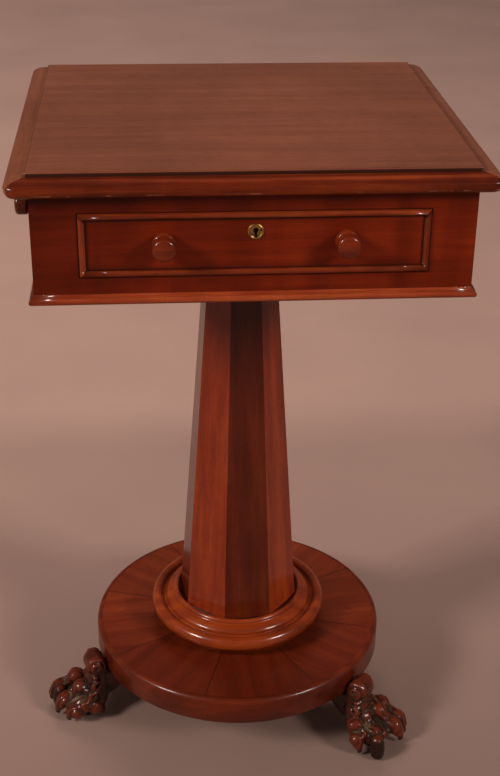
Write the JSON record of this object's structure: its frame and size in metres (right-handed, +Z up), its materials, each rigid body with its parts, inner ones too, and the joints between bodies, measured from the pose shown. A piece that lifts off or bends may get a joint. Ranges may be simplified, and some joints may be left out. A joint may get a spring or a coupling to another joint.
{
  "type": "occasional table",
  "caption": "Square moulded table top over a frieze with a drawer, on an octagonal tapering column with a ringed collar, a round platform and carved paw feet.",
  "frame": {"origin": "on the floor under the axis of the column, which is also the middle of the top", "axes": "+Z up, -Y towards the front with the drawer, +X to the right seen from the front"},
  "size_m": [0.4682, 0.457, 0.735],
  "materials": {
    "polished_mahogany": "polished",
    "flame_mahogany": "polished",
    "column_mahogany": "polished",
    "moulded_mahogany": "polished",
    "turned_mahogany": "polished",
    "disc_veneer": "polished",
    "carved_mahogany": "waxed",
    "pine": "planed",
    "oak": "planed",
    "aged_brass": "satin",
    "steel": "satin"
  },
  "bodies": {
    "table": {"top_board": "polished_mahogany", "top_moulding_front": "moulded_mahogany", "top_moulding_back": "moulded_mahogany", "top_moulding_left": "moulded_mahogany", "top_moulding_right": "moulded_mahogany", "frieze_left": "flame_mahogany", "frieze_right": "flame_mahogany", "frieze_back": "flame_mahogany", "front_stile_left": "flame_mahogany", "front_stile_right": "flame_mahogany", "front_rail_top": "flame_mahogany", "front_rail_bottom": "flame_mahogany", "base_moulding_front": "moulded_mahogany", "base_moulding_back": "moulded_mahogany", "base_moulding_left": "moulded_mahogany", "base_moulding_right": "moulded_mahogany", "bottom_board": "pine", "column_bearer": "pine", "drawer_runner_left": "pine", "drawer_runner_right": "pine", "drawer_kicker_left": "pine", "drawer_kicker_right": "pine", "drawer_stops": "pine", "corner_blocks": "pine", "sham_beads_left": "moulded_mahogany", "sham_beads_right": "moulded_mahogany", "sham_beads_back": "moulded_mahogany", "sham_knobs_left": "turned_mahogany", "sham_knobs_right": "turned_mahogany", "sham_knobs_back": "turned_mahogany", "column": "column_mahogany", "column_wedges": "oak", "collar_lower": "turned_mahogany", "collar_upper": "turned_mahogany", "platform_core": "pine", "platform_veneer": "disc_veneer", "platform_edge_band": "turned_mahogany", "foot_left": "carved_mahogany", "foot_right": "carved_mahogany", "foot_back": "carved_mahogany", "foot_dowels": "oak", "top_screws": "steel", "bearer_screws": "steel"},
    "drawer": {"drawer_front": "flame_mahogany", "drawer_side_left": "oak", "drawer_side_right": "oak", "drawer_back": "oak", "drawer_bottom": "oak", "drawer_bead_top": "moulded_mahogany", "drawer_bead_bottom": "moulded_mahogany", "drawer_bead_left": "moulded_mahogany", "drawer_bead_right": "moulded_mahogany", "drawer_knob_left": "turned_mahogany", "drawer_knob_right": "turned_mahogany", "escutcheon": "aged_brass", "lock_body": "aged_brass", "lock_screws": "steel"},
    "bolt": {"lock_bolt": "steel"}
  },
  "joints": [
    {"name": "drawer_slide", "type": "slide", "parent": "table", "child": "drawer", "axis": [0, -1, 0], "range_m": [0, 0.26]},
    {"name": "lock_slide", "type": "slide", "parent": "drawer", "child": "bolt", "axis": [0, 0, 1], "range_m": [0, 0.006]}
  ]
}
